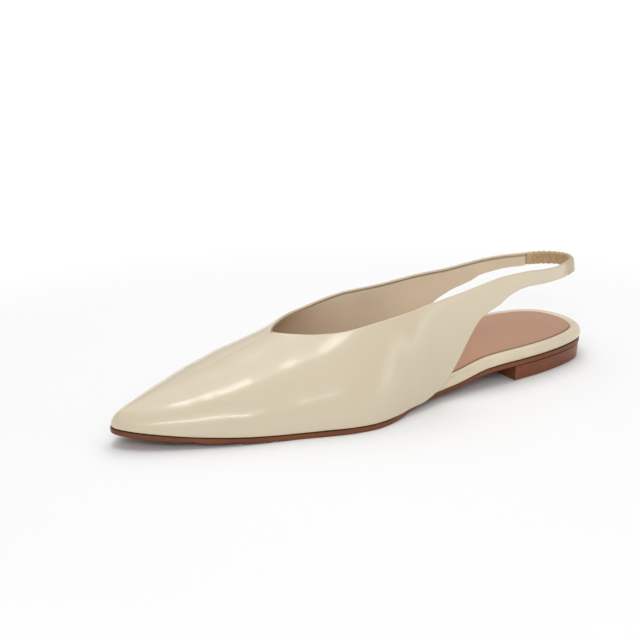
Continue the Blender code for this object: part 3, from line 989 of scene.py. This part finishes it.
class SHOE_OT_upper(bpy.types.Operator):
    """Outer leather and lining of the vamp, quarters and straps"""
    bl_idname = "shoe.upper"
    bl_label = "Make upper"

    def execute(self, context):
        size = sizes()
        tone = colours()
        net = skin()
        cream = leather("cream_calf", tone.cream, tone.cream_dark, 0.32, coat=0.55, shine=0.35, grain=1500.0,
                        relief=0.03, folds=0.015, fold_size=60.0, patches=9.0, shade_and_joint_tone=(0.5, 0.40, 0.25))
        beige = leather("lining_kid", tone.lining, [value * 0.92 for value in tone.lining], 0.5, grain=1300.0,
                        relief=0.12, folds=0.10, fold_size=90.0, patches=30.0, shade_and_joint_tone=(0.44, 0.28, 0.165))
        # Painted shade: a thin darker line along the outer leather's free edges, for the crevice at the sole
        # and the groove of the folded topline.
        outer = layer(net, "upper_leather", 0.0, size.leather_thickness, cream, groove=size.seam_groove,
                      shade=bell(net.far, 0.0005) * 0.3, turned=size.turned_edge)
        on_root(outer, "upper_leather", "upper")
        fold = np.zeros(len(net.spots))
        for start, end, width, height in LINING_FOLDS:
            start = np.array(in_frame(start))
            along = np.array(in_frame(end)) - start
            part = ((net.spots - start) @ along) / (along @ along)
            gap = np.linalg.norm(net.spots - start - np.clip(part, 0, 1)[:, None] * along, axis=1)
            fold += height * bell(gap, width) * np.clip(1.2 - np.abs(part - 0.5), 0, 1)
        # Painted shade on the lining: browner past the throat, deep inside the vamp, and a dark line along its
        # edge in the groove under the folded topline.
        toe = 1 / (1 + np.exp(-(net.station - 0.1755) / 0.005))
        border = bell(np.clip(net.far_top - 0.0016, 0, None), 0.00035)
        inner = layer(net, "upper_lining", size.leather_thickness + LAYER_GAP, size.lining_thickness, beige,
                      shade=np.clip(toe + 0.8 * border, 0, 1), lift=fold, back=LINING_BACK)
        on_root(inner, "upper_leather", "upper")
        return {"FINISHED"}


def stitch_tree(material):
    """Stitches along a curve: sized, spaced, joined into one mesh."""
    tree = bpy.data.node_groups.new("stitches", "GeometryNodeTree")
    tree.interface.new_socket("Geometry", in_out="INPUT", socket_type="NodeSocketGeometry")
    for name in ("Pitch", "Length", "Thread"):
        tree.interface.new_socket(name, in_out="INPUT", socket_type="NodeSocketFloat")
    tree.interface.new_socket("Geometry", in_out="OUTPUT", socket_type="NodeSocketGeometry")
    enter = node(tree, "NodeGroupInput")
    leave = node(tree, "NodeGroupOutput")
    spread = node(tree, "GeometryNodeCurveToPoints", mode="LENGTH")
    bead = node(tree, "GeometryNodeMeshUVSphere", {"Segments": 8, "Rings": 6, "Radius": 0.5})
    shape = node(tree, "ShaderNodeCombineXYZ")
    size = node(tree, "GeometryNodeTransform")
    put = node(tree, "GeometryNodeInstanceOnPoints")
    real = node(tree, "GeometryNodeRealizeInstances")
    dress = node(tree, "GeometryNodeSetMaterial", {"Material": material})
    join(
        tree,
        (enter, "Geometry", spread, "Curve"),
        (enter, "Pitch", spread, "Length"),
        (enter, "Thread", shape, "X"),
        (enter, "Thread", shape, "Y"),
        (enter, "Length", shape, "Z"),
        (bead, "Mesh", size, "Geometry"),
        (shape, "Vector", size, "Scale"),
        (spread, "Points", put, "Points"),
        (spread, "Rotation", put, "Rotation"),
        (size, "Geometry", put, "Instance"),
        (put, "Instances", real, "Geometry"),
        (real, "Geometry", dress, "Geometry"),
        (dress, "Geometry", leave, "Geometry"),
    )
    return tree


def stitch_row(name, path, material):
    """Stitches along a path of points, as a plain mesh."""
    size = sizes()
    curve = bpy.data.curves.new(name + "_path", "CURVE")
    curve.dimensions = "3D"
    line = curve.splines.new("POLY")
    line.points.add(len(path) - 1)
    for point, spot in zip(line.points, path):
        point.co = (*spot, 1)
    holder = in_scene(name + "_path", curve)
    modifier = holder.modifiers.new("stitches", "NODES")
    modifier.node_group = stitch_tree(material)
    wanted = {"Pitch": size.stitch_pitch, "Length": size.stitch_length, "Thread": size.thread}
    for item in modifier.node_group.interface.items_tree:
        if item.in_out == "INPUT" and item.name in wanted:
            modifier[item.identifier] = wanted[item.name]
    view = bpy.context.evaluated_depsgraph_get()
    mesh = bpy.data.meshes.new_from_object(holder.evaluated_get(view))
    bpy.data.objects.remove(holder)
    mesh.name = name
    mesh.polygons.foreach_set("use_smooth", [True] * len(mesh.polygons))
    return in_scene(name, mesh)


class SHOE_OT_seam(bpy.types.Operator):
    """Stitches beside the vamp's centre seam"""
    bl_idname = "shoe.seam"
    bl_label = "Stitch vamp seam"

    def execute(self, context):
        net = skin()
        thread = leather("cream_thread", (0.56, 0.47, 0.34), (0.5, 0.41, 0.29), 0.6, grain=2500.0, relief=0.3)
        path = []
        for line in [line for line in net.lines[1][:net.free - 1] if net.station[line[-1]] < STITCH_END]:
            walked = 0.0
            for k in range(len(line) - 1, 0, -1):
                here, lower = net.spots[line[k]], net.spots[line[k - 1]]
                step = np.linalg.norm(here - lower)
                if walked + step >= STITCH_GAP:
                    part = (STITCH_GAP - walked) / step
                    path.append(here * (1 - part) + lower * part - net.normals[line[k]] * STITCH_SINK)
                    break
                walked += step
        on_root(stitch_row("seam_stitches", path, thread), "upper_leather")
        return {"FINISHED"}


class SHOE_OT_sling(bpy.types.Operator):
    """Gathered leather outside and ruched elastic inside the heel loop"""
    bl_idname = "shoe.sling"
    bl_label = "Make heel loop"

    def execute(self, context):
        tone = colours()
        # Both bands take painted shade in their gathers from the "shade" attribute set below.
        cream = leather("gathered_calf", tone.cream, tone.cream_dark, 0.3, coat=0.2, grain=1500.0, relief=0.05,
                        patches=60.0, shade_and_joint_tone=(0.40, 0.28, 0.15))
        gold = leather("ruched_elastic", tone.elastic, [value * 0.7 for value in tone.elastic], 0.6,
                       grain=2200.0, relief=0.4, patches=500.0, shade_and_joint_tone=(0.44, 0.30, 0.14), sheen=0.3)
        outer = self.band("loop_cover", cream, 0.0, 0.0013, 0.75, 0.0)
        on_root(outer, "elastic", "sling_elastic")
        inner = self.band("loop_elastic", gold, 0.00135, 0.0010, 0.9, 0.0004)
        on_root(inner, "elastic", "sling_elastic")
        return {"FINISHED"}

    def band(self, name, material, depth, thickness, strength, lower):
        """Closed band round the heel with a wavy, gathered face."""
        ends = []
        for side in (1, -1):
            arch, start, end = side_arch(STRAP_END, side)
            angles = [start + (end - start) * k / BAND_STEPS for k in range(BAND_STEPS + 1)]
            ends.append([on_section(arch, angle) for angle in angles])
        path = []
        for k in range(BAND_PATH + 1):
            place = k / BAND_PATH
            path.append(Vector((follow(LOOP, 1, place) * LENGTH, follow(LOOP, 2, place) * HEEL_WIDTH)))
        walked = walk(path)
        total = walked[-1]
        goals = [0.15 * GAP + (total - 0.3 * GAP) * k / BAND_ROWS for k in range(BAND_ROWS + 1)]
        flat_s = np.interp(goals, walked, [spot.x for spot in path])
        flat_w = np.interp(goals, walked, [spot.y for spot in path])
        half = thickness / 2
        loop = [(k, 1.0) for k in range(BAND_STEPS + 1)] + [(k, -1.0) for k in range(BAND_STEPS, -1, -1)]
        points = []
        tints = []
        for row, goal in enumerate(goals):
            before = max(row - 3, 0)
            after = min(row + 3, BAND_ROWS)
            along = Vector((flat_s[after] - flat_s[before], flat_w[after] - flat_w[before])).normalized()
            away = Vector((along.y, -along.x))
            way = goal / total
            fade = min(min(way, 1 - way) / 0.08, 1.0)
            phase = goal / PLEAT_PITCH * 2 * math.pi
            for k, face in loop:
                high = k / BAND_STEPS
                flare = [abs(end[k].y) - abs(end[-1].y) for end in ends]
                out = flare[0] + (flare[1] - flare[0]) * way
                height = ends[0][k].z + (ends[1][k].z - ends[0][k].z) * way
                bow = math.sqrt(max(1 - (1 - min(min(high, 1 - high) / 0.09, 1.0)) ** 2, 0.0))
                wander = noise.noise(Vector((goal * 260, high * 1.4, depth * 900))) * 2.6
                uneven = 0.55 + 0.45 * noise.noise(Vector((goal * 500, high * 3, 2)))
                pleat = math.sin(phase + wander + 0.5 * math.sin(high * 5))
                pleat *= sizes().gather * strength * fade * uneven
                wave = BAND_WAVE * strength * fade * math.sin(phase * 0.5 + wander) * (1 - 2 * high)
                shift = out - depth - half + face * half * bow + face * pleat * bow
                spot = Vector((flat_s[row], flat_w[row])) + away * shift
                points.append(in_frame((spot.x, spot.y, height + (lower * (1 - 2 * high) + wave))))
                # Painted shade: darker in the troughs of the gathers, and none at the loop's ends.
                tints.append(min(max(0.45 - 1800 * pleat, 0.0), 1.0) * fade)
        return tidy(mesh_piece(name, points, capped(BAND_ROWS + 1, len(loop)), material, tints))


class SHOE_OT_insole(bpy.types.Operator):
    """Bound insole board and the tan sock in its bed"""
    bl_idname = "shoe.insole"
    bl_label = "Make insole"

    def execute(self, context):
        tone = colours()
        cream = leather("bound_calf", [value * 1.1 for value in tone.cream], tone.cream_dark, 0.34, coat=0.12,
                        grain=1300.0, relief=0.08, folds=0.35, fold_size=120.0, patches=40.0,
                        stretch=(1.0, 0.8, 3.5), shade_and_joint_tone=(0.42, 0.33, 0.2))
        tan = leather("tan_sock", tone.sock, [value * 0.93 for value in tone.sock], 0.5, shine=0.3,
                      grain=1600.0, relief=0.12, folds=0.12, fold_size=70.0, patches=28.0,
                      shade_and_joint_tone=(0.3, 0.165, 0.105), stretch=(1.0, 0.35, 1.0), sheen=0.15)
        steps = 260
        turns = [k / steps for k in range(steps + 1)]
        fine = 20
        edge_rows = [(k / (len(BOARD_EDGE) - 2), *row) for k, row in enumerate(BOARD_EDGE[:-1])]
        ways = [k / fine for k in range(fine + 1)]
        profile = [(follow(edge_rows, 1, way), follow(edge_rows, 2, way)) for way in ways] + [BOARD_EDGE[-1]]
        bed = BOARD_EDGE[-1][1]

        def rim(turn):
            return RIM_WIDTH * follow(BOARD_LINE, 2, share_of(turn))

        def edge(inward, up, number):
            def out(turn):
                return -inward * rim(turn) + 0.00006 * noise.noise(Vector((turn * 190, number * 0.25, 4)))
            return ring(turns, out, lambda station: seat_line(station) + up * board_height(station))

        def lip(inward, up):
            return ring(
                turns,
                lambda turn: -rim(turn) - GAP * 0.6 - inward,
                lambda station: seat_line(station) + bed * board_height(station) + GAP + up,
            )

        # Painted shade on the binding: darker towards its underside on the sole, and on its inner wall beside
        # the sock.
        shades = [max(0.0, 1 - up * 9) + (0.7 if up < 0.8 and inward > 0.9 else 0.0) for inward, up in profile]
        rings = [edge(inward, up, k) for k, (inward, up) in enumerate(profile)]
        on_root(rings_piece("bound_insole", rings, cream, shades), "binding_leather", "insole")
        # The sock's edge takes painted shade beside the binding.
        rings = [lip(inward, up * SOCK_THICKNESS) for inward, up, shade in SOCK_EDGE]
        piece = rings_piece("tan_sock", rings, tan, [shade for inward, up, shade in SOCK_EDGE])
        for vertex in piece.data.vertices:
            if vertex.normal.z > 0.5:
                station = ALONG - vertex.co.y
                across = vertex.co.x - ACROSS
                for trough in SOCK_CREASES:
                    vertex.co.z -= crease(station, across, *trough)
                vertex.co.z += 0.00008 * noise.noise(vertex.co * 110)
        on_root(piece, "sock_leather", "sock")
        return {"FINISHED"}


class SHOE_OT_sole(bpy.types.Operator):
    """Leather outsole with its forefoot lugs, and the stacked heel"""
    bl_idname = "shoe.sole"
    bl_label = "Make sole and heel"

    def execute(self, context):
        tone = colours()
        # The sole's darker tone is painted shade along the top of its edge under the upper and towards the
        # floor.
        brown = leather("sole_leather", tone.sole, [value * 0.72 for value in tone.sole], 0.42, coat=0.06,
                        shine=0.22, grain=800.0, relief=0.2, folds=0.15, fold_size=240.0, patches=45.0,
                        stretch=(1.0, 1.0, 6.0), shade_and_joint_tone=(0.06, 0.024, 0.013))
        cut = stacked("stacked_heel", [value * 1.08 for value in tone.sole],
                      [value * 0.8 for value in tone.sole], 0.3)
        steps = 280
        stations = [share_of(k / steps) for k in range(steps + 1)]
        for limit in [limit for limits in LUG_CHANNELS for limit in limits]:
            wanted = limit * LENGTH / BOARD_LENGTH
            stations = [share for share in stations if abs(share - wanted) > 0.0016]
            stations += [wanted + step / LENGTH for step in (-0.0006, -0.0003, 0.0, 0.0003, 0.0006)]
        turns = [turn_of(share) for share in sorted(stations)]

        def channel(station):
            share = station / LENGTH
            depth = 0.0
            for first, last in LUG_CHANNELS:
                inside = min(share - first, last - share) * LENGTH
                depth = max(depth, min(max(inside / 0.0006 + 0.5, 0.0), 1.0))
            return ground_line(station) + LUG_DEPTH * depth * 0.6

        def level(inward, up):
            low = channel if up < 0.3 else ground_line
            return ring(
                turns,
                lambda turn: follow(SOLE_EDGE, 1, share_of(turn)) * STAND_OFF - inward,
                lambda station: low(station) + up * SOLE_THICKNESS,
            )

        rings = [level(inward, up) for inward, up, shade in SOLE_LAYERS]
        sole = rings_piece("leather_outsole", rings, brown, [shade for inward, up, shade in SOLE_LAYERS])
        tidy(sole, turn=False, smooth_angle=math.radians(50))
        on_root(sole, "sole_leather", "outsole")
        self.heel(cut)
        return {"FINISHED"}

    def heel(self, material):
        """Heel block under the seat, its cut lifts showing as faint level ridges."""
        count = 90
        turns = [turn_of(HEEL_LENGTH / BOARD_LENGTH) * k / count for k in range(count + 1)]
        rings = []
        shades = []
        for inward, rise, shade in HEEL_LAYERS:
            step = HEEL_TAPER * (1.0 + (1.0 - rise) * 0.6) + inward
            if 0.06 < rise < 0.94:
                ridge = math.cos(rise * LIFT_WAVES)
                step += LIFT_RELIEF * ridge
                shade = 0.25 if ridge > 0.75 else shade
            height = (HEEL_HEIGHT - GAP) * rise
            breast = HEEL_LENGTH - HEEL_TAPER - inward

            def edge(side, turns):
                flats = [outline_point(turn, side) - outward(turn, side) * step for turn in turns]
                return [Vector((min(flat.x, breast), flat.y, height)) for flat in flats]

            near = edge(1, turns)
            far = edge(-1, turns[:0:-1])
            rings.append(near + [near[-1].lerp(far[0], k / 24) for k in range(1, 24)] + far)
            shades.append(shade)
        wide = len(rings[0])
        points = [in_frame(point) for one in rings for point in one]
        tints = [shade for shade in shades for _ in range(wide)]
        piece = mesh_piece("stacked_heel", points, capped(len(rings), wide), material, tints)
        on_root(tidy(piece, smooth_angle=math.radians(40)), "heel_leather", "heel")


def area_light(name, way, distance, width, length, along, radiance):
    """Soft box seen from the shoe in the direction way, its length running along the given direction."""
    way = Vector(way).normalized()
    along = Vector(along)
    long = (along - way * along.dot(way)).normalized()
    data = bpy.data.lights.new(name, "AREA")
    data.shape = "RECTANGLE"
    data.size = width
    data.size_y = length
    data.energy = radiance * math.pi * width * length
    turn = Matrix((long.cross(way), long, way)).transposed()
    in_scene(name, data).matrix_world = Matrix.Translation(way * distance) @ turn.to_4x4()


class SHOE_OT_stage(bpy.types.Operator):
    """Floor, studio light and camera"""
    bl_idname = "shoe.stage"
    bl_label = "Make stage"

    def execute(self, context):
        scene = context.scene
        scene.view_settings.view_transform = "Standard"
        scene.view_settings.look = "None"
        self.floor()
        scene.world = self.studio()
        for light in LIGHTS:
            area_light(*light)
        scene.camera = self.camera()
        return {"FINISHED"}

    def floor(self):
        """Pale floor that glows away from the shoe, so that it ends in white."""
        corners = [(x * FLOOR_HALF, y * FLOOR_HALF, 0) for x, y in ((-1, -1), (1, -1), (1, 1), (-1, 1))]
        paint = bpy.data.materials.new("floor_paint")
        paint.use_nodes = True
        tree = paint.node_tree
        coat = tree.nodes["Principled BSDF"]
        coat.inputs["Base Color"].default_value = (0.93, 0.93, 0.935, 1)
        coat.inputs["Roughness"].default_value = 0.9
        coat.inputs["Specular IOR Level"].default_value = 0.1
        coat.inputs["Emission Color"].default_value = (1, 1, 1, 1)
        place = node(tree, "ShaderNodeTexCoord")
        far = node(tree, "ShaderNodeVectorMath", operation="LENGTH")
        limits = {"From Min": 0.2, "From Max": 0.8, "To Min": 0.0, "To Max": 0.75}
        glow = node(tree, "ShaderNodeMapRange", limits, interpolation_type="SMOOTHSTEP")
        join(tree, (place, "Object", far, 0), (far, "Value", glow, "Value"),
             (glow, "Result", coat, "Emission Strength"))
        mesh_piece("floor", corners, [(0, 1, 2, 3)], paint)

    def studio(self):
        """World that is palest near the horizon, dimmer above it, and paler again overhead."""
        world = bpy.data.worlds.new("studio")
        world.use_nodes = True
        tree = world.node_tree
        ways = node(tree, "ShaderNodeTexCoord")
        parts = node(tree, "ShaderNodeSeparateXYZ")
        lift = node(tree, "ShaderNodeValToRGB")
        stops = lift.color_ramp.elements
        stops[0].position = 0.13
        stops[1].position = 0.9
        stops.new(0.2)
        for stop, value in zip(stops, (0.95, 0.27, 0.58)):
            stop.color = (value, value, value, 1)
        join(tree, (ways, "Generated", parts, "Vector"), (parts, "Z", lift, "Fac"),
             (lift, "Color", tree.nodes["Background"], "Color"))
        return world

    def camera(self):
        turn = math.radians(CAMERA_TURN)
        lift = math.radians(CAMERA_LIFT)
        away = Vector((math.cos(turn) * math.cos(lift), -math.sin(turn) * math.cos(lift), math.sin(lift)))
        data = bpy.data.cameras.new("camera")
        data.sensor_width = SENSOR
        data.lens = CAMERA_LENS / PICTURE * SENSOR
        data.shift_x, data.shift_y = [shift / PICTURE for shift in CAMERA_SHIFT]
        data.clip_start = 0.01
        camera = in_scene("camera", data)
        camera.location = in_frame(CAMERA_TARGET) + away * CAMERA_DISTANCE
        camera.rotation_euler = (-away).to_track_quat("-Z", "Y").to_euler()
        return camera


class SHOE_PT_panel(bpy.types.Panel):
    """Shoe's sizes, colours and steps"""
    bl_idname = "SHOE_PT_panel"
    bl_label = "Sling back flat"
    bl_space_type = "VIEW_3D"
    bl_region_type = "UI"
    bl_category = "Shoe"

    def draw(self, context):
        for group in (context.scene.shoe_sizes, context.scene.shoe_colours):
            for name in group.__annotations__:
                self.layout.prop(group, name)
        for step in STEPS:
            self.layout.operator(step.bl_idname)


STEPS = (SHOE_OT_upper, SHOE_OT_seam, SHOE_OT_sling, SHOE_OT_insole, SHOE_OT_sole, SHOE_OT_stage)
CLASSES = (ShoeSizes, ShoeColours, *STEPS, SHOE_PT_panel)


def register():
    for kind in CLASSES:
        bpy.utils.register_class(kind)
    bpy.types.Scene.shoe_sizes = bpy.props.PointerProperty(type=ShoeSizes)
    bpy.types.Scene.shoe_colours = bpy.props.PointerProperty(type=ShoeColours)


def unregister():
    del bpy.types.Scene.shoe_colours
    del bpy.types.Scene.shoe_sizes
    for kind in reversed(CLASSES):
        bpy.utils.unregister_class(kind)


def main():
    register()
    bpy.ops.shoe.stage()
    bpy.ops.shoe.upper()
    bpy.ops.shoe.seam()
    bpy.ops.shoe.sling()
    bpy.ops.shoe.insole()
    bpy.ops.shoe.sole()
    bpy.context.view_layer.update()


if __name__ == "__main__":
    main()
